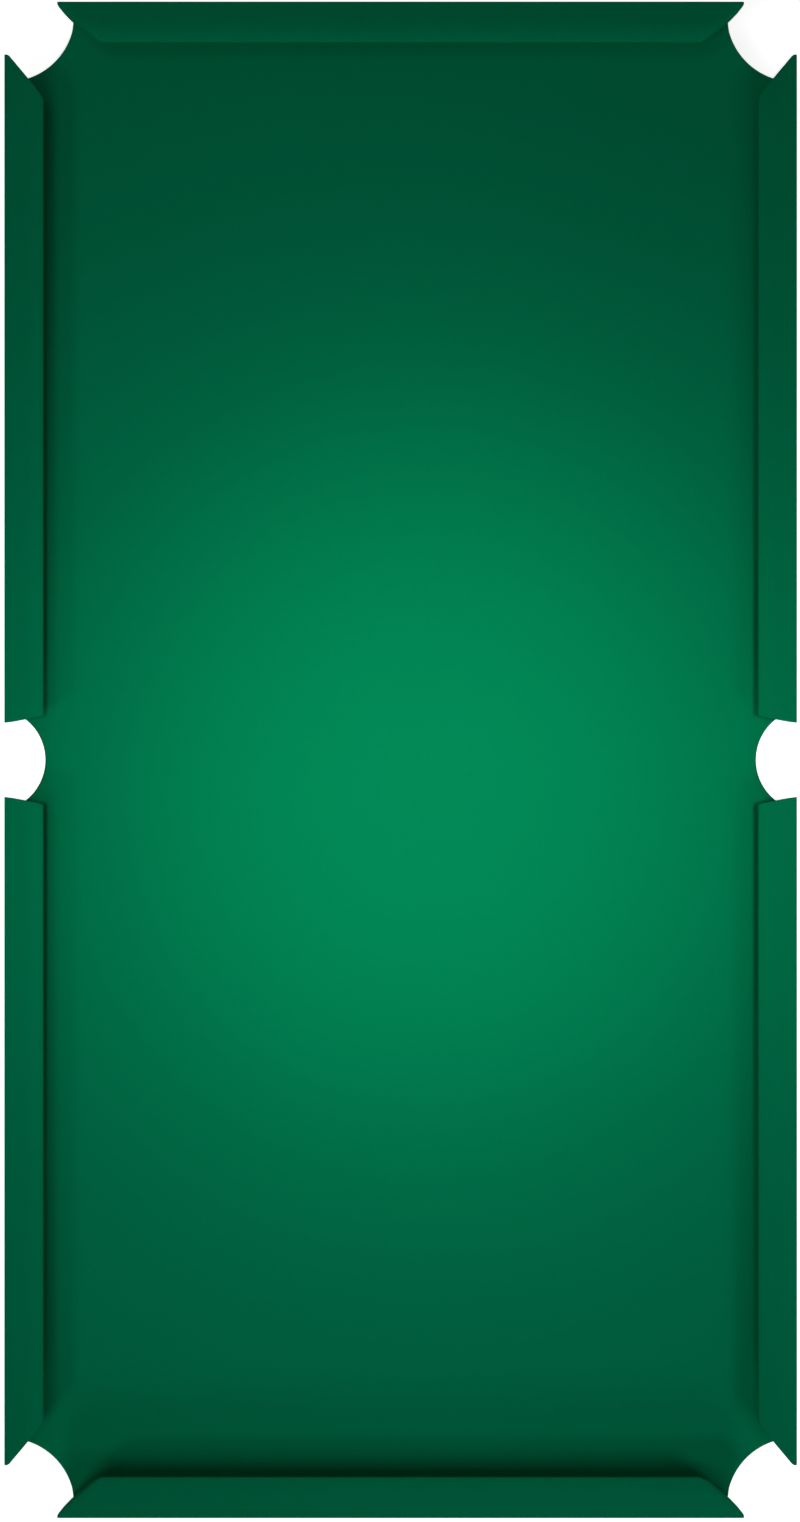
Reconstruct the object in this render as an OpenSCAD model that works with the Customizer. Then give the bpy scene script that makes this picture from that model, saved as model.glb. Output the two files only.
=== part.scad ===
// Top of a 7 ft pool table: slate bed on a wood liner, bed cloth and six bolted-on cushions.
// The origin is at the middle of the underside. +Y points to the head end and +Z up.

/* [Playing field] */
// Width of the playing field, nose to nose
play_w = 987; // [890:1:1130]
// Length of the playing field, nose to nose
play_l = 1983; // [1780:1:2250]

/* [Pockets] */
// Gap between the cushion noses at a corner pocket
corner_mouth = 111; // [108:1:120]
// Gap between the cushion noses at a side pocket
side_mouth = 123; // [120:1:134]
// Angle in plan between a corner jaw and its nose line
corner_cut = 40; // [37:1:45]
// Angle in plan between a side jaw and its nose line
side_cut = 79; // [74:1:82]
// Angle by which the jaws lean back towards their foot
jaw_draft = 12; // [8:1:15]
// Radius of the corner pocket notch in the slate
corner_r = 95.5; // [88:0.5:100]
// Radius of the side pocket notch in the slate
side_r = 73.5; // [70:0.5:78]
// How far the corner notch's centre lies outside both nose lines
corner_set = 63; // [60:1:70]
// How far the side notch's centre lies outside the nose line
side_set = 82; // [78:1:86]

/* [Bed] */
// Thickness of the slate
slate_t = 19; // [19:1:25]
// Thickness of the wood liner
liner_t = 19; // [16:1:25]
// Width of the liner boards
board_w = 110; // [100:1:130]
// Thickness of the cloth
cloth_t = 1; // [0.8:0.1:1.2]
// Slope across the slate's top edge in the pocket notches
notch_bevel = 3; // [2:0.5:4]

/* [Cushions] */
// Width of a cushion, nose to outer edge
rail_w = 52; // [50:1:60]
// Height of the sub-rail over the bed cloth
rail_h = 43; // [42:0.5:45]
// Height of the middle of the nose over the bed cloth
nose_h = 36; // [35.5:0.1:37]
// Radius of the rubber's nose
nose_r = 2.5; // [2:0.1:3]
// Width of the blunt end on the cushions' outer tips
tip_w = 6; // [3:0.5:8]
// Thickness of the jaw facings
facing_t = 4.8; // [3:0.1:5]

/* [Fasteners] */
// Rail bolts in each cushion
bolts_per_rail = 3; // [2:1:4]
// Screws in the back of each sub-rail that hold the rail cap
cap_screws_per_rail = 4; // [2:2:6]
// Diameter of the rail bolts
bolt_d = 8; // [8:1:10]
// Spacing of the staples
staple_pitch = 62; // [50:1:90]

/* [Hidden] */
$fn = 96;
eps = 0.01;
far = 400; // reach of a cutting block

nose_x = play_w / 2;
nose_y = play_l / 2;
slate_w = play_w + 2 * (rail_w - cloth_t);
slate_l = play_l + 2 * (rail_w - cloth_t);
slate_z = liner_t;
bed_z = liner_t + slate_t;
rail_z = bed_z + cloth_t;

// Pocket notches: centre and radius
CORNERS = [for (sx = [-1, 1], sy = [-1, 1]) [sx * (nose_x + corner_set), sy * (nose_y + corner_set), corner_r]];
SIDES = [for (sx = [-1, 1]) [sx * (nose_x + side_set), 0, side_r]];
NOTCHES = concat(CORNERS, SIDES);

// Cushions: name, turn about Z, distance of the nose line from the middle, and for the low and the
// high end of the nose its place along the cushion and the jaw's angle
corner_back = corner_mouth / sqrt(2);
end_stop = nose_x - corner_back;
side_stop = nose_y - corner_back;
mouth_stop = side_mouth / 2;
CORNER_TO_CORNER = [[-end_stop, corner_cut], [end_stop, corner_cut]];
CORNER_TO_SIDE = [[-side_stop, corner_cut], [-mouth_stop, side_cut]];
SIDE_TO_CORNER = [[mouth_stop, side_cut], [side_stop, corner_cut]];
RAILS = [
    ["head", 0, nose_y, CORNER_TO_CORNER],
    ["foot", 180, nose_y, CORNER_TO_CORNER],
    ["left_head", 90, nose_x, SIDE_TO_CORNER],
    ["left_foot", 90, nose_x, CORNER_TO_SIDE],
    ["right_head", -90, nose_x, CORNER_TO_SIDE],
    ["right_foot", -90, nose_x, SIDE_TO_CORNER],
];

// Cushion section: y runs outwards from the nose's foremost line, z up from the bed cloth
glue_foot = [24, 13];
glue_head = [29, rail_h];
rubber_toe = 20.5;
undercut = 50;
nose_mid = [nose_r + cloth_t, nose_h];
staple_rebate = [6, 2];
strip_rebate = [7, 5];
rebate_out = glue_foot.x + staple_rebate.x;
strip_in = rail_w - strip_rebate.x;
strip_floor = rail_h - strip_rebate.y;
// The rubber's top is level at crown_out and bends down from there in one arc, tangent to the nose
crown_out = 24;
crown_reach = crown_out - nose_mid.x;
crown_drop = rail_h - nose_h;
crown_r = (crown_reach ^ 2 + crown_drop ^ 2 - nose_r ^ 2) / (2 * (crown_drop - nose_r));
crown_mid = [crown_out, rail_h - crown_r];
crown_turn = asin(crown_reach / (crown_r - nose_r));
CROWN = [for (i = [0:5]) let (a = 90 + i * crown_turn / 6) crown_mid + crown_r * [cos(a), sin(a)]];
NOSE = [
    for (i = [0:8]) let (a = 90 + crown_turn + i * (180 - undercut - crown_turn) / 8)
        nose_mid + nose_r * [cos(a), sin(a)]
];
// Line that the cloth follows, from the outer top edge over the nose to the staples
WRAP = concat(
    [[rail_w, rail_h], glue_head],
    CROWN,
    NOSE,
    [[rubber_toe, glue_foot.y], glue_foot, [glue_foot.x, staple_rebate.y], [rebate_out, staple_rebate.y]]
);

// Fasteners
bolt_in = 37; // rail bolts, outwards from the nose line
bolt_end = 75; // first rail bolt from the nose's end
bolt_clear_d = bolt_d + 2;
bolt_reach = 22; // above the bed cloth
head_af = 13;
head_t = 5.3;
washer_d = 18;
washer_t = 2;
counterbore_d = 20;
insert_d = 12.5;
insert_l = 20;
cap_hole = [4, 16]; // diameter, depth
cap_hole_h = 29;
cap_hole_end = 40;
frame_hole = [6, 14]; // diameter, depth
FRAME_HOLES = [for (sx = [-1, 1], y = [-870, -400, 400, 870]) [sx * 465, y]];
screw_d = 5;
screw_head = [10.5, 4];
screw_l = 30;
filler = [11, 1.5]; // diameter, thickness
SLATE_SCREWS = concat(
    [for (sx = [-1, 1], y = [-800, -480, -160, 160, 480, 800]) [sx * (nose_x + 9.5), y]],
    [for (x = [-165, 165], sy = [-1, 1]) [x, sy * (nose_y + 9.5)]]
);

// Staples
crown = [10, 1.2, 0.7];
leg_l = 6;
staple_off = 0.15; // stands this far off the cloth, to clear the hollow of a notch
skirt_foot = 5; // lower edge of the bed cloth
skirt_staple_z = 11;

// --- Lines and places ---------------------------------------------------------------------------

function unit(v) = v / norm(v);
function left_of(v) = [-v.y, v.x];

// An open line moved by d to the right of its direction of travel, with mitred corners
function moved(line, d) = [
    for (i = [0:len(line) - 1])
        let (
            before = unit(line[max(i, 1)] - line[max(i, 1) - 1]),
            after = unit(line[min(i, len(line) - 2) + 1] - line[min(i, len(line) - 2)]),
            a = left_of(before),
            b = left_of(after)
        )
        line[i] - d * (a + b) / (1 + a * b)
];

// Evenly spread places from a to b, no further apart than the pitch
function spread(a, b, pitch) =
    let (n = ceil((b - a) / pitch))
    [for (i = [0:n]) a + i * (b - a) / n];

function rail_bolts_at(r) =
    let (a = r[3][0][0] + bolt_end, b = r[3][1][0] - bolt_end)
    [for (i = [0:bolts_per_rail - 1]) a + i * (b - a) / (bolts_per_rail - 1)];

function cap_screws_at(r) =
    let (a = r[3][0][0] + cap_hole_end, b = r[3][1][0] - cap_hole_end)
    [for (i = [0:cap_screws_per_rail - 1]) a + i * (b - a) / (cap_screws_per_rail - 1)];

// Staples of the bed cloth: place in plan and the direction that they face
edge_x = slate_w / 2 + cloth_t;
edge_y = slate_l / 2 + cloth_t;
staple_gap = 14; // first staple from a notch
corner_edge = corner_set - rail_w;
corner_run = sqrt(corner_r ^ 2 - corner_edge ^ 2) - corner_edge - rail_w + staple_gap;
side_run = sqrt(side_r ^ 2 - (side_set - rail_w) ^ 2) + staple_gap;
SKIRT_STAPLES = concat(
    [
        for (sx = [-1, 1], sy = [-1, 1], y = spread(side_run, nose_y - corner_run, staple_pitch))
            [sx * edge_x, sy * y, sx > 0 ? 0 : 180]
    ],
    [
        for (sy = [-1, 1], x = spread(corner_run - nose_x, nose_x - corner_run, staple_pitch))
            [x, sy * edge_y, sy * 90]
    ],
    [
        for (n = NOTCHES)
            let (
                at_corner = n.y != 0,
                inwards = (n.x > 0 ? 180 : 0) + sign(n.x * n.y) * 45,
                half = at_corner ? 32 : 54
            )
            for (a = spread(inwards - half, inwards + half, at_corner ? 16 : 27))
                [n.x + (n.z - cloth_t) * cos(a), n.y + (n.z - cloth_t) * sin(a), a + 180]
    ]
);

// --- Shared shapes ------------------------------------------------------------------------------

// Plan of the bed with its six notches, grown outwards and into the notches
module bed_plan(grow = 0) {
    difference() {
        square([slate_w + 2 * grow, slate_l + 2 * grow], center = true);
        for (n = NOTCHES) translate([n.x, n.y]) circle(r = n.z - grow, $fn = 180);
    }
}

// One stretch of the liner, in plan
module liner_board(low, high) {
    difference() {
        linear_extrude(liner_t) intersection() {
            bed_plan();
            translate(low) square(high - low);
        }
        bolt_holes(counterbore_d);
        for (p = FRAME_HOLES) {
            translate([p.x, p.y, -eps]) cylinder(d = frame_hole.x, h = frame_hole.y + eps);
        }
        for (p = SLATE_SCREWS) {
            translate([p.x, p.y, bed_z - screw_l - filler.y]) cylinder(d = screw_d, h = screw_l);
        }
        staples_round_bed(true);
    }
}

// Puts its children in the place of cushion r
module at_rail(r) {
    turn = r[1];
    reach = r[2];
    rotate([0, 0, turn]) translate([0, reach, rail_z]) children();
}

// Holes at all rail bolts, through the bed
module bolt_holes(d) {
    for (r = RAILS, u = rail_bolts_at(r)) {
        at_rail(r) translate([u, bolt_in, -rail_z - eps]) cylinder(d = d, h = rail_z + 2 * eps);
    }
}

// Everything beyond a jaw and its blunt tip, with both moved back into the cushion by inset
module beyond_jaw(stop, cut, inset) {
    overhang = (rail_h + cloth_t - nose_h) * tan(jaw_draft) / sin(cut);
    tip = (rail_w - tip_w) / tan(cut) + overhang;
    translate([stop, 0, nose_h])
        rotate([0, jaw_draft, cut - 90])
            translate([-inset, -far, -far])
                cube([far, 2 * far, 2 * far]);
    translate([stop + tip - inset, -far, -far]) cube([far, 2 * far, 2 * far]);
}

// A cushion-long bar of the section given as its child, cut by both jaws
module rail_bar(r, inset = 0) {
    low = r[3][0];
    high = r[3][1];
    spare = 2 * rail_w;
    difference() {
        translate([low[0] - spare, 0, 0])
            rotate([90, 0, 90])
                linear_extrude(high[0] - low[0] + 2 * spare)
                    children();
        beyond_jaw(high[0], high[1], inset);
        mirror([1, 0, 0]) beyond_jaw(-low[0], low[1], inset);
    }
}

// Whole section inside the cloth, or grown by the cloth
module wrapped_section(grow = 0) {
    polygon(concat(moved(WRAP, grow), [[rebate_out, 0], [rail_w, 0]]));
}

module rubber_section() {
    polygon(concat([glue_head], CROWN, NOSE, [[rubber_toe, glue_foot.y], glue_foot]));
}

module subrail_section() {
    polygon([
        glue_head,
        glue_foot,
        [glue_foot.x, staple_rebate.y],
        [rebate_out, staple_rebate.y],
        [rebate_out, 0],
        [rail_w, 0],
        [rail_w, strip_floor],
        [strip_in, strip_floor],
        [strip_in, rail_h],
    ]);
}

// The cloth's end, tucked round the feather strip
module tuck_section() {
    translate([strip_in, strip_floor]) square([strip_rebate.x, cloth_t]);
    translate([rail_w - cloth_t, strip_floor]) square([cloth_t, strip_rebate.y]);
}

module strip_section() {
    translate([strip_in, strip_floor + cloth_t])
        square([strip_rebate.x - cloth_t, strip_rebate.y - cloth_t]);
}

// A staple on the plane z = 0 with its legs downwards, or its legs alone
module staple(legs_only = false) {
    leg_w = 1;
    if (!legs_only) translate([-crown.x / 2, -crown.y / 2, 0]) cube(crown);
    for (s = [-1, 1]) {
        translate([s * (crown.x - leg_w) / 2 - leg_w / 2, -crown.z / 2, -leg_l]) cube([leg_w, crown.z, leg_l]);
    }
}

module staples_round_bed(legs_only = false) {
    for (s = SKIRT_STAPLES) {
        translate([s.x, s.y, skirt_staple_z])
            rotate([0, 0, s.z])
                translate([staple_off, 0, 0])
                    rotate([0, 90, 0])
                        rotate([0, 0, 90])
                            staple(legs_only);
    }
}

module staples_under_rail(r, legs_only = false) {
    low = r[3][0][0] + 20;
    high = r[3][1][0] - 20;
    for (u = spread(low, high, staple_pitch)) {
        translate([u, glue_foot.x + staple_rebate.x / 2, staple_rebate.y - cloth_t])
            rotate([180, 0, 0])
                staple(legs_only);
    }
}

// --- Bed ----------------------------------------------------------------------------------------

board_in = slate_w / 2 - board_w;
board_end = slate_l / 2 - board_w;

module liner_left() {
    color("burlywood") liner_board([-slate_w / 2, -slate_l / 2], [-board_in, slate_l / 2]);
}

module liner_right() {
    color("burlywood") liner_board([board_in, -slate_l / 2], [slate_w / 2, slate_l / 2]);
}

module liner_head() {
    color("tan") liner_board([-board_in, board_end], [board_in, slate_l / 2]);
}

module liner_foot() {
    color("tan") liner_board([-board_in, -slate_l / 2], [board_in, -board_end]);
}

module liner_cross() {
    color("wheat") liner_board([-board_in, -board_w / 2], [board_in, board_w / 2]);
}

module slate_bed() {
    color("slategray") difference() {
        translate([0, 0, slate_z]) linear_extrude(slate_t) bed_plan();
        for (n = NOTCHES) {
            translate([n.x, n.y, bed_z - notch_bevel])
                cylinder(r1 = n.z, r2 = n.z + notch_bevel + eps, h = notch_bevel + eps, $fn = 180);
        }
        bolt_holes(bolt_clear_d);
        for (p = SLATE_SCREWS) translate([p.x, p.y, 0]) {
            cylinder(d = screw_d, h = bed_z);
            translate([0, 0, bed_z - filler.y - screw_head.y])
                cylinder(d1 = screw_d, d2 = screw_head.x, h = screw_head.y);
            translate([0, 0, bed_z - filler.y]) cylinder(d = filler.x, h = filler.y + eps);
        }
    }
}

module slate_screws() {
    slot = [1.4, 1.8]; // width, depth
    color("silver") for (p = SLATE_SCREWS) translate([p.x, p.y, bed_z - filler.y]) {
        difference() {
            union() {
                translate([0, 0, -screw_head.y]) cylinder(d1 = screw_d, d2 = screw_head.x, h = screw_head.y);
                translate([0, 0, -screw_l]) cylinder(d = screw_d, h = screw_l - screw_head.y);
            }
            translate([-screw_head.x, -slot.x / 2, -slot.y]) cube([2 * screw_head.x, slot.x, slot.y + eps]);
        }
    }
}

module screw_fillers() {
    color("lightgray") for (p = SLATE_SCREWS) {
        translate([p.x, p.y, bed_z - filler.y]) cylinder(d = filler.x, h = filler.y);
    }
}

// A closed solid of the cloth: its top sheet and the edges turned down over slate and liner
module bed_cloth() {
    color("seagreen") difference() {
        translate([0, 0, skirt_foot]) linear_extrude(rail_z - skirt_foot) bed_plan(cloth_t);
        linear_extrude(bed_z) bed_plan();
        bolt_holes(bolt_clear_d);
        staples_round_bed(true);
    }
}

module bed_cloth_staples() {
    color("silver") staples_round_bed();
}

// --- Cushions -----------------------------------------------------------------------------------

module subrail(r) {
    color("peru") at_rail(r) difference() {
        rail_bar(r, cloth_t + facing_t) subrail_section();
        for (u = rail_bolts_at(r)) translate([u, bolt_in, -eps]) {
            cylinder(d = insert_d, h = insert_l + eps);
            cylinder(d = bolt_clear_d - 1, h = bolt_reach + 3);
        }
        for (u = cap_screws_at(r)) {
            translate([u, rail_w + eps, cap_hole_h])
                rotate([90, 0, 0])
                    cylinder(d = cap_hole.x, h = cap_hole.y + eps);
        }
        staples_under_rail(r, true);
    }
}

module rubber(r) {
    color("dimgray") at_rail(r) rail_bar(r, cloth_t + facing_t) rubber_section();
}

module facings(r) {
    color("black") at_rail(r) difference() {
        rail_bar(r, cloth_t) {
            rubber_section();
            subrail_section();
        }
        rail_bar(r, cloth_t + facing_t) square([3 * rail_w, 3 * rail_h], center = true);
    }
}

module feather_strip(r) {
    color("sienna") at_rail(r) rail_bar(r, cloth_t) strip_section();
}

module cushion_cloth(r) {
    color("mediumseagreen") at_rail(r) difference() {
        union() {
            difference() {
                rail_bar(r) wrapped_section(cloth_t);
                rail_bar(r, cloth_t) wrapped_section();
            }
            rail_bar(r, cloth_t) tuck_section();
        }
        staples_under_rail(r, true);
    }
}

module rail_inserts() {
    color("gold") for (r = RAILS, u = rail_bolts_at(r)) at_rail(r) translate([u, bolt_in, 0]) difference() {
        cylinder(d = insert_d, h = insert_l);
        translate([0, 0, -eps]) cylinder(d = bolt_d + 0.1, h = insert_l + 2 * eps);
    }
}

module rail_bolts() {
    head_top = slate_z - washer_t - rail_z;
    color("silver") for (r = RAILS, u = rail_bolts_at(r)) at_rail(r) translate([u, bolt_in, head_top]) {
        cylinder(d = bolt_d, h = bolt_reach - head_top);
        translate([0, 0, -head_t]) cylinder(d = head_af / cos(30), h = head_t, $fn = 6);
    }
}

module rail_washers() {
    color("gainsboro") for (r = RAILS, u = rail_bolts_at(r)) {
        at_rail(r) translate([u, bolt_in, slate_z - washer_t - rail_z]) difference() {
            cylinder(d = washer_d, h = washer_t);
            translate([0, 0, -eps]) cylinder(d = bolt_d + 0.4, h = washer_t + 2 * eps);
        }
    }
}

module cushion_staples() {
    color("silver") for (r = RAILS) at_rail(r) staples_under_rail(r);
}

// --- Nodes --------------------------------------------------------------------------------------

liner_left();
liner_right();
liner_head();
liner_foot();
liner_cross();
slate_bed();
slate_screws();
screw_fillers();
bed_cloth();
bed_cloth_staples();
for (r = RAILS) {
    subrail(r);
    rubber(r);
    facings(r);
    feather_strip(r);
    cushion_cloth(r);
}
rail_inserts();
rail_bolts();
rail_washers();
cushion_staples();
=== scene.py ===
"""Looks of a 7 ft pool table's top: green cloth over slate and over the six cushions' rubber.

Everything is in metres, in the CAD's frame. The camera looks straight down with +Y upwards.
"""

import math

import bmesh
import bpy
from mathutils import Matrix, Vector, noise
from mathutils.geometry import delaunay_2d_cdt


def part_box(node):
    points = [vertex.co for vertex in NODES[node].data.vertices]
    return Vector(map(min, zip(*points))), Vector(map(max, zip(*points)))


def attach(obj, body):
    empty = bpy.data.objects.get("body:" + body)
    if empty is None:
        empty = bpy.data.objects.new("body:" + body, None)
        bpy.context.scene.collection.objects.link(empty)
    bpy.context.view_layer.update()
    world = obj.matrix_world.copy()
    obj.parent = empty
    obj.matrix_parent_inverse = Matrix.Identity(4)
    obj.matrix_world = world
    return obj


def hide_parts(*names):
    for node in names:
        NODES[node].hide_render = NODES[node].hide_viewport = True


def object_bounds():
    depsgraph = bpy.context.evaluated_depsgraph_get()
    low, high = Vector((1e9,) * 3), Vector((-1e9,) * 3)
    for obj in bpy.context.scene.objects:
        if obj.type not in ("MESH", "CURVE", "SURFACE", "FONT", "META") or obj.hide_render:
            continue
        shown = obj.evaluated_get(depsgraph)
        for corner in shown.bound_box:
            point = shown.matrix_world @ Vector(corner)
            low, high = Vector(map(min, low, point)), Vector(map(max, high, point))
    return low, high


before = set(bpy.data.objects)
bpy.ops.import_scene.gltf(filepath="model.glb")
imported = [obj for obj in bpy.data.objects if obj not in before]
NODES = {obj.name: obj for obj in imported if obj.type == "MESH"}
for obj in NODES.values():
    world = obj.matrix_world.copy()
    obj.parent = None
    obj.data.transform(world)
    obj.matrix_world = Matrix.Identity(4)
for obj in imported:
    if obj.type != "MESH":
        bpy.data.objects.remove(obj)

CAD_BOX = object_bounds()
TAU = 2 * math.pi

# --- Measures of the table -------------------------------------------------------------------------

bed_low, bed_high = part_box("bed_cloth")
EDGE_X, EDGE_Y, BED_TOP, HEM = bed_high.x, bed_high.y, bed_high.z, bed_low.z
head_low, head_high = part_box("cushion_cloth_head")
NOSE_Y = head_low.y
RAIL_W = head_high.y - head_low.y
NOSE_X = EDGE_X - RAIL_W
RAIL_TOP = head_high.z - BED_TOP

# These repeat the CAD's own dimensions
CLOTH = 0.001  # thickness
CORNER_MOUTH = 0.111  # between the noses' ends
SIDE_MOUTH = 0.123
CORNER_CUT = math.radians(40)  # between a nose line and its jaw, in plan
SIDE_CUT = math.radians(79)
JAW_DRAFT = math.radians(12)  # how far a jaw leans out over the pocket
TIP_W = 0.006  # width of a cushion's blunt outer tip
NOSE_H = 0.036  # over the bed cloth
# A notch's radius, and how far its centre lies outside the nose lines
CORNER_R, CORNER_SET = 0.0955, 0.063
SIDE_R, SIDE_SET = 0.0735, 0.082

CORNER_BACK = CORNER_MOUTH / math.sqrt(2)
END_STOP = NOSE_X - CORNER_BACK
SIDE_STOP = NOSE_Y - CORNER_BACK
MOUTH_STOP = SIDE_MOUTH / 2
CORNER_TO_CORNER = ((-END_STOP, CORNER_CUT), (END_STOP, CORNER_CUT))
CORNER_TO_SIDE = ((-SIDE_STOP, CORNER_CUT), (-MOUTH_STOP, SIDE_CUT))
SIDE_TO_CORNER = ((MOUTH_STOP, SIDE_CUT), (SIDE_STOP, CORNER_CUT))
# Name: turn about Z, nose line's distance from the middle, low and high end of the nose
RAILS = {
    "head": (0, NOSE_Y, CORNER_TO_CORNER),
    "foot": (180, NOSE_Y, CORNER_TO_CORNER),
    "left_head": (90, NOSE_X, SIDE_TO_CORNER),
    "left_foot": (90, NOSE_X, CORNER_TO_SIDE),
    "right_head": (-90, NOSE_X, CORNER_TO_SIDE),
    "right_foot": (-90, NOSE_X, SIDE_TO_CORNER),
}

# --- Camera ----------------------------------------------------------------------------------------

CAMERA_X, CAMERA_Y = -0.0009, -0.0016
CAMERA_HEIGHT = 1.6366  # over the bed cloth
CAMERA_LENS = 27.4  # mm
CAMERA_SENSOR = 36  # mm

camera = bpy.data.objects.new("camera", bpy.data.cameras.new("camera"))
camera.data.lens = CAMERA_LENS
camera.data.sensor_width = CAMERA_SENSOR
camera.data.clip_start, camera.data.clip_end = 0.05, 200
camera.location = (CAMERA_X, CAMERA_Y, BED_TOP + CAMERA_HEIGHT)
bpy.context.scene.collection.objects.link(camera)
bpy.context.scene.camera = camera

# --- Mesh helpers ----------------------------------------------------------------------------------

TOUCHING = 1e-7  # points closer than this are one point
MERGE = 2e-6  # vertices closer than this are merged
SHARP_EDGE = math.radians(50)


def spread(a, b, step):
    """Evenly spread values from a to b, no further apart than step."""
    n = max(1, math.ceil(abs(b - a) / step - 1e-6))
    return [a + (b - a) * i / n for i in range(n + 1)]


def arc(centre, radius, start, end, n):
    """n + 1 points on an arc. Its angles are in degrees, anticlockwise from the first axis."""
    angles = [math.radians(start + (end - start) * i / n) for i in range(n + 1)]
    return [(centre[0] + radius * math.cos(a), centre[1] + radius * math.sin(a)) for a in angles]


def normals_2d(line):
    """Normals to the right of an open line's direction of travel."""
    found = []
    for i, here in enumerate(line):
        before, after = line[max(i - 1, 0)], line[min(i + 1, len(line) - 1)]
        total = Vector((0, 0))
        for a, b in ((before, here), (here, after)):
            d = Vector(b) - Vector(a)
            if d.length > 1e-9:
                total += Vector((d.y, -d.x)).normalized()
        found.append(total.normalized())
    return found


def inside(loop, x, y):
    """Whether a point lies in a closed 2-D loop."""
    odd = False
    for i in range(len(loop)):
        (ax, ay), (bx, by) = loop[i - 1], loop[i]
        if (ay > y) != (by > y) and x < (bx - ax) * (y - ay) / (by - ay) + ax:
            odd = not odd
    return odd


def fill(loop, step):
    """Triangles that fill a closed 2-D loop, with a grid of points inside it: (points, faces)."""
    xs, ys = [p[0] for p in loop], [p[1] for p in loop]
    clearance = (0.4 * step) ** 2  # squared, between the grid and the loop
    inner = []
    for x in spread(min(xs), max(xs), step)[1:-1]:
        for y in spread(min(ys), max(ys), step)[1:-1]:
            if inside(loop, x, y) and all((x - p[0]) ** 2 + (y - p[1]) ** 2 > clearance for p in loop):
                inner.append(Vector((x, y)))
    points = [Vector(p) for p in loop] + inner
    edges = [(i, (i + 1) % len(loop)) for i in range(len(loop))]
    made, _, faces, *_ = delaunay_2d_cdt(points, edges, [], 1, TOUCHING)
    return made, faces


def add_faces(bm, places, faces):
    """Adds faces to a bmesh, on new vertices at the places given."""
    verts = [bm.verts.new(p) for p in places]
    for face in faces:
        bm.faces.new([verts[i] for i in face])


def turn_outwards(bm, upward):
    """Merges a cloth's vertices and turns its faces outwards: the face with most upward looks up."""
    bmesh.ops.remove_doubles(bm, verts=bm.verts, dist=MERGE)
    bmesh.ops.recalc_face_normals(bm, faces=bm.faces)
    if max(bm.faces, key=upward).normal.z < 0:
        bmesh.ops.reverse_faces(bm, faces=bm.faces)


def make_object(name, bm, material, body="root"):
    """A smooth-shaded object from a bmesh, riding on a body."""
    mesh = bpy.data.meshes.new(name)
    bm.to_mesh(mesh)
    bm.free()
    mesh.shade_smooth()
    made = bpy.data.objects.new(name, mesh)
    bpy.context.scene.collection.objects.link(made)
    mesh.materials.append(material)
    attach(made, body)
    return made


def thicken(piece, thickness):
    """Gives an open cloth surface its thickness, inwards, and keeps its cut edges sharp."""
    solid = piece.modifiers.new("thickness", "SOLIDIFY")
    solid.thickness = thickness
    solid.offset = -1
    bpy.context.view_layer.objects.active = piece
    with bpy.context.temp_override(object=piece, active_object=piece, selected_objects=[piece]):
        bpy.ops.object.modifier_apply(modifier=solid.name)
    piece.data.set_sharp_from_angle(angle=SHARP_EDGE)


# --- Materials -------------------------------------------------------------------------------------


def rgb(r, g, b):
    """An opaque colour, from its linear red, green and blue."""
    return (r, g, b, 1.0)


def toned(colour, share):
    """A colour made darker or brighter."""
    return rgb(*(share * c for c in colour[:3]))


def add_node(tree, kind, inputs=(), **settings):
    """A new shader node: an input is set to a value, or linked from another node's socket."""
    made = tree.nodes.new(kind)
    for key, value in settings.items():
        setattr(made, key, value)
    for key, value in dict(inputs).items():
        if isinstance(value, bpy.types.NodeSocket):
            tree.links.new(value, made.inputs[key])
        else:
            made.inputs[key].default_value = value
    return made


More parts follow.
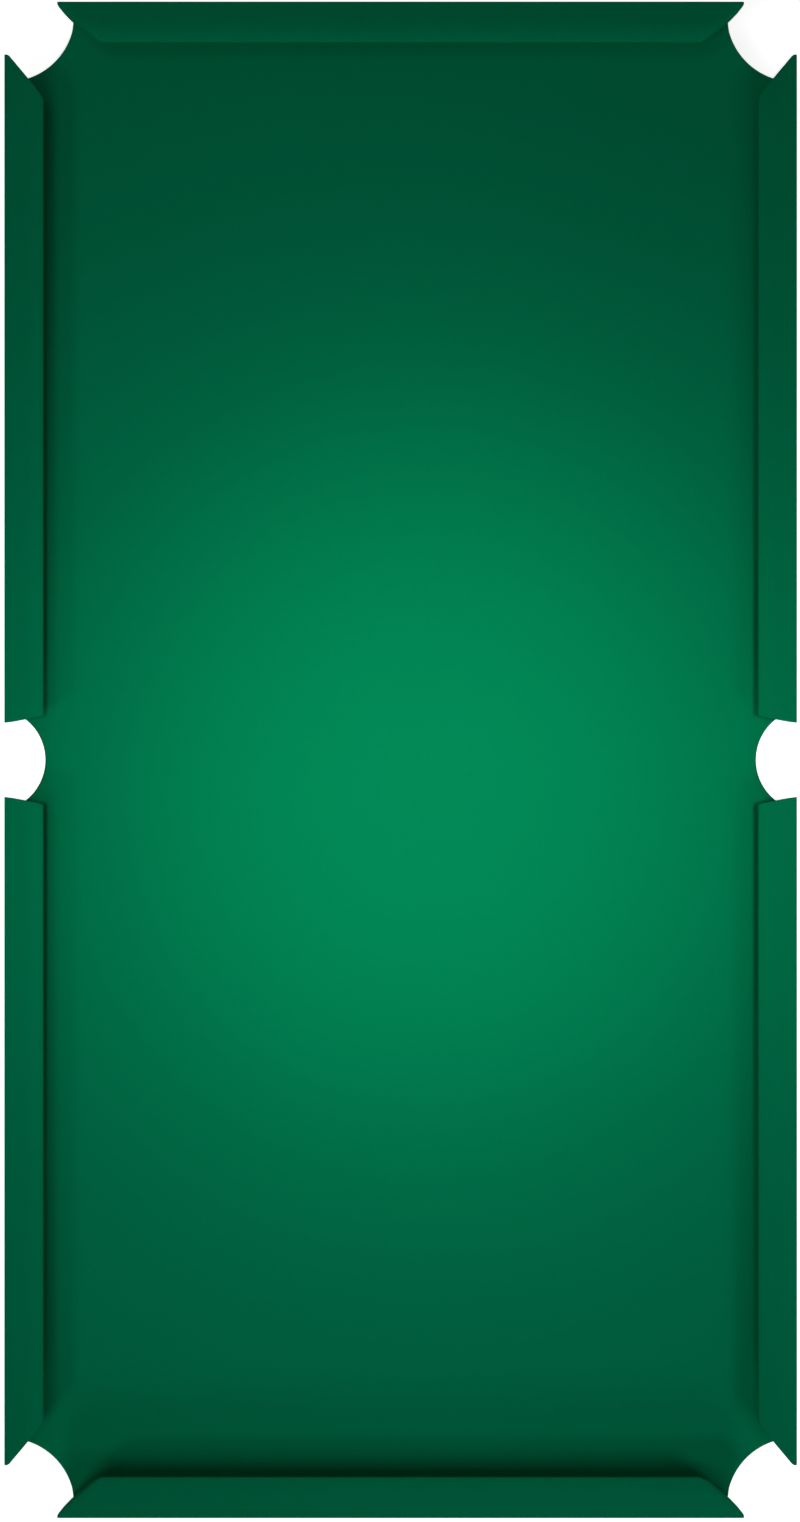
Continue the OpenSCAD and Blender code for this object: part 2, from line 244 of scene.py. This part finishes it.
class Graph:
    """A material's node tree, with short calls to add nodes. Sizes in it are in metres."""

    def __init__(self, name, **sockets):
        self.material = bpy.data.materials.new(name)
        self.material.use_nodes = True
        self.tree = self.material.node_tree
        self.shader = self.tree.nodes["Principled BSDF"]
        for socket, value in sockets.items():
            self.shader.inputs[socket.replace("_", " ")].default_value = value
        self.coords = self.add("ShaderNodeTexCoord").outputs["Object"]

    def add(self, kind, inputs=(), **settings):
        return add_node(self.tree, kind, inputs, **settings)

    def placed(self, scale=(1, 1, 1), turn=(0, 0, 0)):
        """The object's coordinates, scaled and turned."""
        inputs = {"Vector": self.coords, "Scale": scale, "Rotation": turn}
        return self.add("ShaderNodeMapping", inputs).outputs["Vector"]

    def noise(self, scale, detail, roughness, where=None):
        """Noise with about scale spots to the metre."""
        inputs = {"Vector": where or self.coords, "Scale": scale, "Detail": detail, "Roughness": roughness}
        return self.add("ShaderNodeTexNoise", inputs).outputs["Fac"]

    def waves(self, period, wobble, where=None, bands="DIAGONAL"):
        """Parallel bands: a period apart along an axis, or 1.41 periods apart on a diagonal."""
        inputs = {"Vector": where or self.coords, "Scale": TAU / 20 / period, "Distortion": wobble}
        made = self.add("ShaderNodeTexWave", inputs, bands_direction=bands, wave_type="BANDS")
        return made.outputs["Fac"]

    def times(self, a, b):
        return self.add("ShaderNodeMath", {0: a, 1: b}, operation="MULTIPLY").outputs["Value"]

    def remap(self, value, low, high, to_low=0.0, to_high=1.0):
        """A value's range from low to high, stretched or squeezed into another range."""
        inputs = {"Value": value, "From Min": low, "From Max": high, "To Min": to_low, "To Max": to_high}
        return self.add("ShaderNodeMapRange", inputs, clamp=True).outputs["Result"]

    def mix(self, share, a, b):
        """Colour a, with a share of colour b."""
        return self.add("ShaderNodeMix", {0: share, 6: a, 7: b}, data_type="RGBA").outputs[2]

    def bump(self, height, distance, strength, over=None):
        """A normal with bumps, on top of those that it may already have."""
        inputs = {"Height": height, "Distance": distance, "Strength": strength}
        if over is not None:
            inputs["Normal"] = over
        return self.add("ShaderNodeBump", inputs).outputs["Normal"]

    def finish(self, colour, roughness, normal):
        for socket, value in (("Base Color", colour), ("Roughness", roughness), ("Normal", normal)):
            self.tree.links.new(value, self.shader.inputs[socket])
        return self.material


THREAD = 0.00055  # period of the weave's diagonal bands


def cloth_material(name, green):
    """Worsted pool cloth: a fine plain weave under a very short nap, matt and evenly dyed."""
    g = Graph(
        name,
        Specular_IOR_Level=0.0,
        Sheen_Weight=0.08,
        Sheen_Roughness=0.5,
        Sheen_Tint=rgb(0.02, 0.6, 0.35),
    )
    warp = g.waves(THREAD, 0.6)
    weft = g.waves(THREAD, 0.6, g.placed(turn=(0, 0, math.pi / 2)))
    weave = g.times(warp, weft)
    fibre = g.noise(900, 2.0, 0.6, g.placed(turn=(0.4, 0.3, 0.8)))
    nap = g.noise(260, 3.0, 0.55)
    cloud = g.noise(5.0, 3.0, 0.5)
    brushed = rgb(green[0], green[1] * 0.8, green[2] * 0.8)
    faded = rgb(green[0], green[1] * 0.8, green[2] * 0.85)
    colour = g.mix(g.remap(fibre, 0.3, 0.7), toned(green, 0.93), toned(green, 1.07))
    # Painted shade: the weave's gaps between threads are darkened a little
    colour = g.mix(g.remap(weave, 0.0, 0.25, 0.1, 0.0), colour, toned(green, 0.7))
    colour = g.mix(g.remap(nap, 0.35, 0.65, 0.0, 0.06), colour, brushed)
    colour = g.mix(g.remap(cloud, 0.35, 0.65, 0.0, 0.05), colour, faded)
    normal = g.bump(weave, 0.00012, 0.5)
    normal = g.bump(nap, 0.0002, 0.35, normal)
    return g.finish(colour, g.remap(fibre, 0.2, 0.8, 0.86, 0.98), normal)


def wood_material(name, pale, dark, ring, roughness, along):
    """Sawn and planed wood with its grain along X or Y and its rings a given distance apart."""

    def drawn_out(share):
        """Coordinates squeezed along the grain, so that what they carry is drawn out along it."""
        return g.placed((share, 1, 1) if along == "X" else (1, share, 1))

    g = Graph(name, Specular_IOR_Level=0.35)
    where = drawn_out(0.06)
    bend = g.times(g.noise(14, 3.0, 0.55, where), 0.16)
    grown = g.add("ShaderNodeVectorMath", {0: where, 1: bend}, operation="ADD")
    rings = g.waves(ring, 3.0, grown.outputs["Vector"], "Z")
    figure = g.noise(60, 4.0, 0.6, where)
    pores = g.noise(1400, 2.0, 0.6, drawn_out(0.04))
    colour = g.mix(g.remap(rings, 0.1, 0.9, 0.1, 0.8), pale, dark)
    colour = g.mix(g.remap(figure, 0.3, 0.7, 0.0, 0.5), colour, toned(dark, 0.8))
    colour = g.mix(g.remap(pores, 0.55, 0.7, 0.0, 0.45), colour, toned(dark, 0.55))
    normal = g.bump(pores, 0.0003, 0.5)
    normal = g.bump(rings, 0.0002, 0.3, normal)
    return g.finish(colour, g.remap(figure, 0.2, 0.8, roughness - 0.08, roughness + 0.12), normal)


def stone_material(name, pale, dark):
    """Honed stone, with faint beds and fine specks."""
    g = Graph(name, Specular_IOR_Level=0.4)
    beds = g.noise(14, 5.0, 0.6, g.placed((1, 0.5, 3)))
    specks = g.noise(900, 2.0, 0.5)
    colour = g.mix(g.remap(beds, 0.35, 0.65), dark, pale)
    colour = g.mix(g.remap(specks, 0.62, 0.75, 0.0, 0.5), colour, toned(pale, 1.8))
    normal = g.bump(g.noise(320, 4.0, 0.6), 0.0003, 0.4)
    return g.finish(colour, g.remap(beds, 0.3, 0.7, 0.5, 0.65), normal)


def rubber_material(name, tone):
    """Moulded rubber with a fine bloom."""
    g = Graph(name, Specular_IOR_Level=0.3)
    bloom = g.noise(120, 4.0, 0.6)
    colour = g.mix(g.remap(bloom, 0.35, 0.65), tone, toned(tone, 1.4))
    normal = g.bump(g.noise(1500, 2.0, 0.5), 0.0002, 0.4)
    return g.finish(colour, g.remap(bloom, 0.3, 0.7, 0.62, 0.78), normal)


def metal_material(name, tone, roughness):
    """Drawn or plated metal with light handling marks."""
    g = Graph(name, Metallic=1.0)
    marks = g.noise(700, 3.0, 0.6)
    colour = g.mix(g.remap(marks, 0.35, 0.7), tone, toned(tone, 0.72))
    normal = g.bump(g.noise(2400, 2.0, 0.5), 0.0001, 0.3)
    return g.finish(colour, g.remap(marks, 0.3, 0.7, roughness - 0.06, roughness + 0.12), normal)


GREEN = (0.0005, 0.25, 0.112)
CUSHION_PAINTED_SHADE = 0.88  # painted shade: the bed's own cloth, made a little darker on the cushions
bed_green = cloth_material("bed_cloth_green", GREEN)
# The cushions get a darker copy of the bed's cloth: painted shade, not a different cloth
painted_shade_cushion_green = cloth_material("cushion_cloth_painted_shade", [CUSHION_PAINTED_SHADE * c for c in GREEN])
# Pale and dark tone, distance between rings, roughness
WOODS = {
    "poplar": (rgb(0.72, 0.57, 0.36), rgb(0.54, 0.4, 0.22), 0.009, 0.55),
    "pine": (rgb(0.62, 0.43, 0.22), rgb(0.42, 0.24, 0.09), 0.006, 0.6),
    "maple": (rgb(0.66, 0.5, 0.33), rgb(0.55, 0.38, 0.22), 0.005, 0.55),
}
wood = {
    (kind, along): wood_material(f"{kind}_along_{along.lower()}", *look, along)
    for kind, look in WOODS.items()
    for along in "XY"
}
slate = stone_material("honed_slate", rgb(0.13, 0.14, 0.15), rgb(0.07, 0.077, 0.085))
filler = stone_material("screw_filler", rgb(0.5, 0.5, 0.44), rgb(0.4, 0.4, 0.36))
gum = rubber_material("gum_rubber", rgb(0.16, 0.1, 0.055))
neoprene = rubber_material("black_neoprene", rgb(0.018, 0.018, 0.02))
zinc = metal_material("zinc_plated_steel", rgb(0.62, 0.63, 0.65), 0.34)
steel = metal_material("staple_steel", rgb(0.66, 0.66, 0.66), 0.3)
brass = metal_material("turned_brass", rgb(0.8, 0.58, 0.25), 0.3)


def grain(name):
    """The axis that a board's grain follows: the head's, foot's and cross boards lie along X."""
    on_a_side = "left" in name or "right" in name
    return "X" if name.endswith(("_head", "_foot", "_cross")) and not on_a_side else "Y"


def material_of(name):
    """A CAD node's material, by the first of these words that is in its name."""
    for word, kind in (("liner", "pine"), ("subrail", "poplar"), ("feather_strip", "maple")):
        if word in name:
            return wood[kind, grain(name)]
    for word, material in (
        ("rubber", gum),
        ("facings", neoprene),
        ("staples", steel),
        ("rail_inserts", brass),
        ("screw_fillers", filler),
        ("slate_bed", slate),
        ("_cloth", bed_green),
    ):
        if word in name:
            return material
    return zinc


for name, node in NODES.items():
    for place in node.material_slots:
        place.material = material_of(name)

# --- Bed cloth -------------------------------------------------------------------------------------

OUTER_ROLL = 0.0015  # radius of the cloth's fold at the bed's outer edge
NOTCH_ROLL = 0.004  # and over the slate's bevel in the pocket notches
ROLL_STEPS = 6
ROLL_BORDER = 0.003  # width of the last flat row of faces before the fold
SKIRT_ROWS = 10
SIDE_SLITS, CORNER_SLITS = 7, 5  # relief slits, so that the skirt can follow a notch
SLIT_TOP = 0.030  # height at which they begin
SLIT_GAP = 0.0026  # how far they open at the hem
RAGGED = 0.0009  # how uneven the cut hem is
EDGE_STEP = 0.012  # between stations on the straight edges
NOTCH_STEPS = 66
NOTCH_TRIM = 3  # steps left out at each end of a notch, where the cloth spans the sharp corner
NOTCH_EASE = 5  # steps over which the fold then widens
BED_GRID = 0.03  # between vertices on the flat bed
EDGE_FREE, NOTCH_FREE = 1.0, 0.3  # share of the pucker on straight edges and in notches


def bed_outline():
    """Stations round the bed, anticlockwise: (x, y, fold radius, slit side, share of the pucker)."""
    stations = []

    def straight(a, b):
        for t in spread(0, 1, EDGE_STEP / max((Vector(b) - Vector(a)).length, 1e-6)):
            p = Vector(a).lerp(Vector(b), t)
            stations.append((p.x, p.y, OUTER_ROLL, 0, EDGE_FREE))

    def notch(centre, radius, start, end, slits):
        """An arc seen from the bed: clockwise about its centre."""
        cuts = {round(NOTCH_STEPS * (k + 1) / (slits + 1)) for k in range(slits)}
        points = arc(centre, radius, start, end, NOTCH_STEPS)
        for i in range(NOTCH_TRIM, NOTCH_STEPS - NOTCH_TRIM + 1):
            from_end = min(i, NOTCH_STEPS - i) - NOTCH_TRIM + 1
            roll = OUTER_ROLL + (NOTCH_ROLL - OUTER_ROLL) * min(1.0, from_end / NOTCH_EASE)
            for slit in (-1, 1) if i in cuts else (0,):
                stations.append((*points[i], roll, slit, NOTCH_FREE))

    corner_r, side_r = CORNER_R - CLOTH, SIDE_R - CLOTH
    corner_dip = CORNER_SET - RAIL_W
    corner_run = math.sqrt(corner_r**2 - corner_dip**2)
    low = math.degrees(math.asin(corner_dip / corner_r))
    side_dip = SIDE_SET - RAIL_W
    side_run = math.sqrt(side_r**2 - side_dip**2)
    side_low = math.degrees(math.acos(side_dip / side_r))
    cx, cy = NOSE_X + CORNER_SET, NOSE_Y + CORNER_SET

    # Right side upwards, head end leftwards, left side downwards, foot end rightwards
    straight((EDGE_X, -cy + corner_run), (EDGE_X, -side_run))
    notch((NOSE_X + SIDE_SET, 0), side_r, 180 + side_low, 180 - side_low, SIDE_SLITS)
    straight((EDGE_X, side_run), (EDGE_X, cy - corner_run))
    notch((cx, cy), corner_r, 270 - low, 180 + low, CORNER_SLITS)
    straight((cx - corner_run, EDGE_Y), (corner_run - cx, EDGE_Y))
    notch((-cx, cy), corner_r, 360 - low, 270 + low, CORNER_SLITS)
    straight((-EDGE_X, cy - corner_run), (-EDGE_X, side_run))
    notch((-NOSE_X - SIDE_SET, 0), side_r, side_low, -side_low, SIDE_SLITS)
    straight((-EDGE_X, -side_run), (-EDGE_X, -cy + corner_run))
    notch((-cx, -cy), corner_r, 90 - low, low, CORNER_SLITS)
    straight((corner_run - cx, -EDGE_Y), (cx - corner_run, -EDGE_Y))
    notch((cx, -cy), corner_r, 180 - low, 90 + low, CORNER_SLITS)
    return stations


def mitred(stations):
    """For each station, its direction outwards, made longer where a mitre has to reach further."""
    found = []
    count = len(stations)
    at = [Vector(s[:2]) for s in stations]
    for i in range(count):
        before, after = i - 1, (i + 1) % count
        while (at[before] - at[i]).length < TOUCHING:
            before -= 1
        while (at[after] - at[i]).length < TOUCHING:
            after = (after + 1) % count
        a, b = (at[i] - at[before]).normalized(), (at[after] - at[i]).normalized()
        a, b = Vector((a.y, -a.x)), Vector((b.y, -b.x))
        found.append((a + b) / (1 + a.dot(b)))
    return found


def skirt_pucker(x, y, z):
    """How far the skirt's hem stands off: slow waves between the staples, and a fine unevenness."""
    slow = noise.noise(Vector((x * 9, y * 9, 3.7)))
    fine = noise.noise(Vector((x * 60, y * 60, z * 30)))
    return 0.0004 + 0.0005 * slow + 0.0002 * fine


def skirt_column(station, out):
    """The bed cloth at one station, from the flat bed over the fold and down to the hem."""
    x, y, roll, slit, free = station
    along = Vector((-out.y, out.x)).normalized()
    column = [(x - out.x * inset, y - out.y * inset, BED_TOP) for inset in (roll + ROLL_BORDER, roll)]
    for i in range(1, ROLL_STEPS + 1):
        a = math.pi / 2 * i / ROLL_STEPS
        inset, drop = roll * (1 - math.sin(a)), roll * (1 - math.cos(a))
        column.append((x - out.x * inset, y - out.y * inset, BED_TOP - drop))
    hem = HEM + RAGGED * noise.noise(Vector((x * 23, y * 23, 9.1)))
    start = BED_TOP - roll
    for i in range(1, SKIRT_ROWS + 1):
        z = start + (hem - start) * i / SKIRT_ROWS
        stand = free * (i / SKIRT_ROWS) * skirt_pucker(x, y, z)
        gap = slit * SLIT_GAP / 2 * max(0.0, (SLIT_TOP - z) / (SLIT_TOP - HEM))
        column.append((x + out.x * stand + along.x * gap, y + out.y * stand + along.y * gap, z))
    return column


def build_bed_cloth():
    """The cloth over the slate, with its skirt turned down all round and slit in the notches."""
    stations = bed_outline()
    columns = [skirt_column(station, out) for station, out in zip(stations, mitred(stations))]
    bm = bmesh.new()
    rows = [[bm.verts.new(p) for p in column] for column in columns]
    for k, here in enumerate(rows):
        after = (k + 1) % len(rows)
        there = rows[after]
        across_slit = stations[k][3] == -1 and stations[after][3] == 1
        if across_slit or (here[-1].co - there[-1].co).length < TOUCHING:
            continue
        for i in range(len(here) - 1):
            bm.faces.new((here[i], here[i + 1], there[i + 1], there[i]))
    rim = [column[0][:2] for column in columns]
    loop = [p for i, p in enumerate(rim) if (Vector(p) - Vector(rim[i - 1])).length > TOUCHING]
    points, faces = fill(loop, BED_GRID)
    add_faces(bm, [(p.x, p.y, BED_TOP) for p in points], faces)
    turn_outwards(bm, lambda f: f.calc_area() if abs(f.normal.z) > 0.9 else 0)
    piece = make_object("bed_cloth_sheet", bm, bed_green)
    thicken(piece, CLOTH)
    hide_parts("bed_cloth")
    return piece


bed_cloth = build_bed_cloth()

# --- Cushion cloths --------------------------------------------------------------------------------
# In a cushion's section, u is the distance outwards from the nose's foremost line and z is the
# height over the bed cloth.

EDGE_ROLL = 0.0024  # radius of the cloth's fold over the outer top edge
JAW_ROLL = 0.0018  # and round the jaws
JAW_STEPS = 4
BLUNT = 0.0024  # how gently a jaw turns into its blunt tip
NOSE_R = 0.0025  # of the rubber under the cloth
NOSE_TURN = 230  # degrees from the section's u axis, where the nose's arc ends under the nose
CROWN_U = 0.024  # the top is flat from here outwards
STRIP_W, STRIP_DEEP = 0.007, 0.005  # the feather strip's rebate
STRIP_ROLL = 0.0008
RUBBER_FOOT = (0.0205, 0.013)  # lower back corner of the rubber
FACE_U = 0.023  # cloth in front of the sub-rail's foot
FOOT_ROLL = 0.0014
FOOT_ROLL_MID = (0.0244, 0.0024)
STAPLED_U, STAPLED_Z = 0.030, 0.001  # the cloth's end, under the sub-rail
SECTION_STEP = 0.003  # between points on the section's straight stretches
FOLD_GAP = 0.002  # from the outer edge's fold to the next point
CUSHION_STEP = 0.024  # between sections along a cushion, as a share of its length
JAW_STEP, JAW_GRID = 0.004, 0.0035  # along the outline of the jaw's cloth, and within it
TUCKED = 4  # points of the section under the feather strip
OVER_STRIP = 8  # points that keep square ends, to cover the strip's corners
EASE_IN, EASE_OUT = 8, 3  # points over which the fold round the jaw begins and ends


def cushion_path():
    """The cloth's outer face in section, as (u, z), from the feather strip over the nose to the staples."""
    cloth_r = NOSE_R + CLOTH
    rise, reach = RAIL_TOP - CLOTH - NOSE_H, CROWN_U - cloth_r
    crown_r = (reach**2 + rise**2 - NOSE_R**2) / (2 * (rise - NOSE_R))
    crown_end = 90 + math.degrees(math.asin(reach / (crown_r - NOSE_R)))
    crown_mid = (CROWN_U, RAIL_TOP - CLOTH - crown_r)
    strip_out, strip_floor = RAIL_W - STRIP_ROLL, RAIL_TOP - CLOTH - STRIP_DEEP
    path = [(u, strip_floor) for u in spread(RAIL_W - STRIP_W, strip_out, SECTION_STEP)]
    path += arc((strip_out, strip_floor + STRIP_ROLL), STRIP_ROLL, -90, 0, 3)
    path += arc((RAIL_W - EDGE_ROLL, RAIL_TOP - EDGE_ROLL), EDGE_ROLL, 0, 90, 6)
    path += [(u, RAIL_TOP) for u in spread(RAIL_W - EDGE_ROLL - FOLD_GAP, CROWN_U, SECTION_STEP)]
    path += arc(crown_mid, crown_r + CLOTH, 90, crown_end, 8)[1:]
    path += arc((cloth_r, NOSE_H), cloth_r, crown_end, NOSE_TURN, 10)[1:]
    # Down the rubber's slanted underside, round its foot and down the sub-rail's face
    nose_end = Vector(path[-1])
    slope = Vector((RUBBER_FOOT[0], RUBBER_FOOT[1] - CLOTH)) - nose_end
    path += [tuple(nose_end + slope * t) for t in (0.15, 0.4, 0.65, 0.9)]
    path += [(0.0205, 0.0121), (0.0215, 0.0118), (0.0226, 0.0112), (FACE_U, 0.0098)]
    path += [(FACE_U, z) for z in (0.007, 0.004, FOOT_ROLL_MID[1])]
    path += arc(FOOT_ROLL_MID, FOOT_ROLL, 180, 270, 4)[1:]
    path += [(u, STAPLED_Z) for u in (0.027, STAPLED_U)]
    return path


def softer(a, b):
    """The lower of two values, with a smooth turn between them."""
    h = max(BLUNT - abs(a - b), 0) / BLUNT
    return min(a, b) - h * h * BLUNT / 4


def jaw_at(stop, cut, u, z):
    """How far the cushion reaches at (u, z), from the middle of its side of the table."""
    overhang = math.tan(JAW_DRAFT) / math.sin(cut)
    slant = stop + u / math.tan(cut) + (z - NOSE_H) * overhang
    tip = stop + (RAIL_W - TIP_W) / math.tan(cut) + (RAIL_TOP - NOSE_H) * overhang
    return softer(slant, tip)


def jaw_fold(path):
    """The section at each step of its fold round a jaw: rings of (u, z, how far short of the jaw)."""
    last = len(path) - 1
    rings = []
    for k in range(JAW_STEPS + 1):
        a = math.pi / 2 * k / JAW_STEPS
        ring = []
        for i, ((u, z), n) in enumerate(zip(path, normals_2d(path))):
            weight = min(1.0, max(0.0, (i - OVER_STRIP) / EASE_IN)) * min(1.0, (last - i) / EASE_OUT)
            inset = JAW_ROLL * (1 - math.cos(a)) * weight
            ring.append((u - n.x * inset, z - n.y * inset, JAW_ROLL * (1 - math.sin(a))))
        rings.append(ring)
    return rings


def jaw_outline(ring):
    """Outline of the jaw's own cloth: the fold's edge, the sub-rail's foot and its back."""
    edge = [(u, z) for u, z, _ in ring[TUCKED:]]
    foot = [(STAPLED_U, 0.0)] + [(u, 0.0) for u in spread(STAPLED_U + JAW_STEP, RAIL_W, JAW_STEP)]
    back = [(RAIL_W, z) for z in spread(JAW_STEP, edge[0][1] - SECTION_STEP, JAW_STEP)]
    return edge + foot + back


def build_cushion(name):
    """A cushion's cloth, from jaw to jaw."""
    turn, reach, (low, high) = RAILS[name]
    spin = math.radians(turn)

    def put(x, u, z):
        """A point of the cushion in the table's frame: x along the nose, then u and z of the section."""
        y = reach + u
        turned = (x * math.cos(spin) - y * math.sin(spin), x * math.sin(spin) + y * math.cos(spin))
        return (*turned, z + BED_TOP)

    def end_x(stop, cut, ring):
        return [jaw_at(stop, cut, u, z) - back for u, z, back in ring]

    path = cushion_path()
    rings = jaw_fold(path)
    low_x = [[-x for x in end_x(-low[0], low[1], ring)] for ring in rings]
    high_x = [end_x(high[0], high[1], ring) for ring in rings]
    stations = []
    for k in range(JAW_STEPS, -1, -1):
        stations.append([put(x, u, z) for x, (u, z, _) in zip(low_x[k], rings[k])])
    for t in spread(0, 1, CUSHION_STEP)[1:-1]:
        stations.append([put(a + (b - a) * t, u, z) for a, b, (u, z) in zip(low_x[0], high_x[0], path)])
    for k in range(JAW_STEPS + 1):
        stations.append([put(x, u, z) for x, (u, z, _) in zip(high_x[k], rings[k])])
    bm = bmesh.new()
    rows = [[bm.verts.new(p) for p in row] for row in stations]
    for a, b in zip(rows, rows[1:]):
        for j in range(len(path) - 1):
            bm.faces.new((a[j], a[j + 1], b[j + 1], b[j]))
    points, faces = fill(jaw_outline(rings[-1]), JAW_GRID)
    for sign, stop, cut in ((-1, -low[0], low[1]), (1, high[0], high[1])):
        add_faces(bm, [put(sign * jaw_at(stop, cut, p.x, p.y), p.x, p.y) for p in points], faces)
    turn_outwards(bm, lambda f: f.calc_center_median().z)
    piece = make_object("cushion_wrap_" + name, bm, painted_shade_cushion_green)
    thicken(piece, CLOTH)
    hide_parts("cushion_cloth_" + name)


for rail in RAILS:
    build_cushion(rail)

# --- Floor and light -------------------------------------------------------------------------------

FLOOR_R = 60.0
FLOOR_GAP = 0.0004  # under the table
FLOOR_GLOW = 0.85
LAMP_HEIGHT = 3.0
LAMP_SIZE = 0.25
LIGHT_DISTANCE = 3.0
BOX_SIZE = 1.0
FAR_LIGHT_WIDTH = math.radians(12)
WORLD_LIGHT = 0.03
BACKDROP = 1.0  # as bright as the far floor


def floor_material():
    """A pale floor that the camera sees lifted towards white, as paper is in a studio."""
    material = bpy.data.materials.new("studio_floor")
    material.use_nodes = True
    tree = material.node_tree
    tree.nodes.clear()
    diffuse = add_node(tree, "ShaderNodeBsdfDiffuse", {"Color": rgb(0.8, 0.8, 0.8)})
    seen = add_node(tree, "ShaderNodeLightPath").outputs["Is Camera Ray"]
    strength = add_node(tree, "ShaderNodeMath", {0: seen, 1: FLOOR_GLOW}, operation="MULTIPLY")
    white = {"Color": rgb(1, 1, 1), "Strength": strength.outputs["Value"]}
    glow = add_node(tree, "ShaderNodeEmission", white)
    both = add_node(tree, "ShaderNodeAddShader", {0: diffuse.outputs["BSDF"], 1: glow.outputs["Emission"]})
    add_node(tree, "ShaderNodeOutputMaterial", {"Surface": both.outputs["Shader"]})
    return material


def studio_world():
    """A white backdrop for the camera, and a little even light for everything else."""
    world = bpy.data.worlds.new("studio")
    world.use_nodes = True
    tree = world.node_tree
    tree.nodes.clear()
    seen = add_node(tree, "ShaderNodeLightPath").outputs["Is Camera Ray"]
    light = add_node(tree, "ShaderNodeBackground", {"Color": rgb(0.95, 0.98, 1), "Strength": WORLD_LIGHT})
    backdrop = add_node(tree, "ShaderNodeBackground", {"Color": rgb(1, 1, 1), "Strength": BACKDROP})
    choice = {0: seen, 1: light.outputs["Background"], 2: backdrop.outputs["Background"]}
    chosen = add_node(tree, "ShaderNodeMixShader", choice)
    add_node(tree, "ShaderNodeOutputWorld", {"Surface": chosen.outputs["Shader"]})
    return world


def aimed(lamp, place, target):
    """Links a lamp at a place, turned towards a target."""
    made = bpy.data.objects.new(lamp.name, lamp)
    made.location = place
    made.rotation_euler = (Vector(target) - Vector(place)).to_track_quat("-Z", "Y").to_euler()
    made.visible_camera = False
    bpy.context.scene.collection.objects.link(made)


def hanging_lamp(name, x, y, energy, tint, cone):
    """A shaded lamp that hangs over (x, y), its cone in degrees and soft to its rim."""
    lamp = bpy.data.lights.new(name, "SPOT")
    lamp.energy, lamp.color = energy, tint
    lamp.spot_size, lamp.spot_blend = math.radians(cone), 1.0
    lamp.shadow_soft_size = LAMP_SIZE
    aimed(lamp, (x, y, LAMP_HEIGHT), (x, y, 0))


def bearing_place(bearing, height):
    """A place round the table's middle, by bearing (0 at the foot end, 90 on the right) and height."""
    turn, rise = math.radians(bearing), math.radians(height)
    flat = LIGHT_DISTANCE * math.cos(rise)
    return (flat * math.sin(turn), -flat * math.cos(turn), LIGHT_DISTANCE * math.sin(rise))


def studio_box(name, bearing, height, energy, tint):
    """A square soft box aimed at the table's middle."""
    lamp = bpy.data.lights.new(name, "AREA")
    lamp.energy, lamp.color = energy, tint
    lamp.shape, lamp.size, lamp.size_y = "RECTANGLE", BOX_SIZE, BOX_SIZE
    aimed(lamp, bearing_place(bearing, height), (0, 0, 0))


def far_light(name, bearing, height, strength, tint):
    """A large, distant light, as even at one end of the table as at the other."""
    lamp = bpy.data.lights.new(name, "SUN")
    lamp.energy, lamp.color = strength, tint
    lamp.angle = FAR_LIGHT_WIDTH
    aimed(lamp, bearing_place(bearing, height), (0, 0, 0))


floor_mesh = bpy.data.meshes.new("floor")
floor_bm = bmesh.new()
bmesh.ops.create_circle(floor_bm, cap_ends=True, segments=96, radius=FLOOR_R)
floor_bm.to_mesh(floor_mesh)
floor_bm.free()
floor = bpy.data.objects.new("floor", floor_mesh)
floor.location.z = CAD_BOX[0][2] - FLOOR_GAP
bpy.context.scene.collection.objects.link(floor)
floor_mesh.materials.append(floor_material())

bpy.context.scene.world = studio_world()
hanging_lamp("lamp_shade_head", 0.05, 0.05, 68, (1, 1, 0.68), 24)
hanging_lamp("lamp_shade_foot", 0.04, -0.08, 123, (1, 1, 0.73), 24)
hanging_lamp("lamp_spill", 0.04, -0.08, 64, (1, 1, 0.97), 44)
studio_box("box_right_foot", 45, 40, 7.7, (1, 1, 1))
studio_box("box_left_head", 225, 64, 3.3, (1, 1, 1))
studio_box("box_left_foot", 315, 64, 7.0, (1, 1, 0.94))
far_light("far_foot", 0, 20, 0.45, (1, 1, 1))
far_light("far_left_foot", 315, 38, 0.35, (1, 1, 0.89))
# These two graze the cloth and light only the sides that the others leave dark
far_light("far_head", 180, 3, 0.7, (1, 1, 1))
far_light("far_right", 90, 3, 0.5, (1, 1, 1))

bpy.context.scene.view_settings.view_transform = "Standard"
bpy.context.scene.view_settings.look = "None"
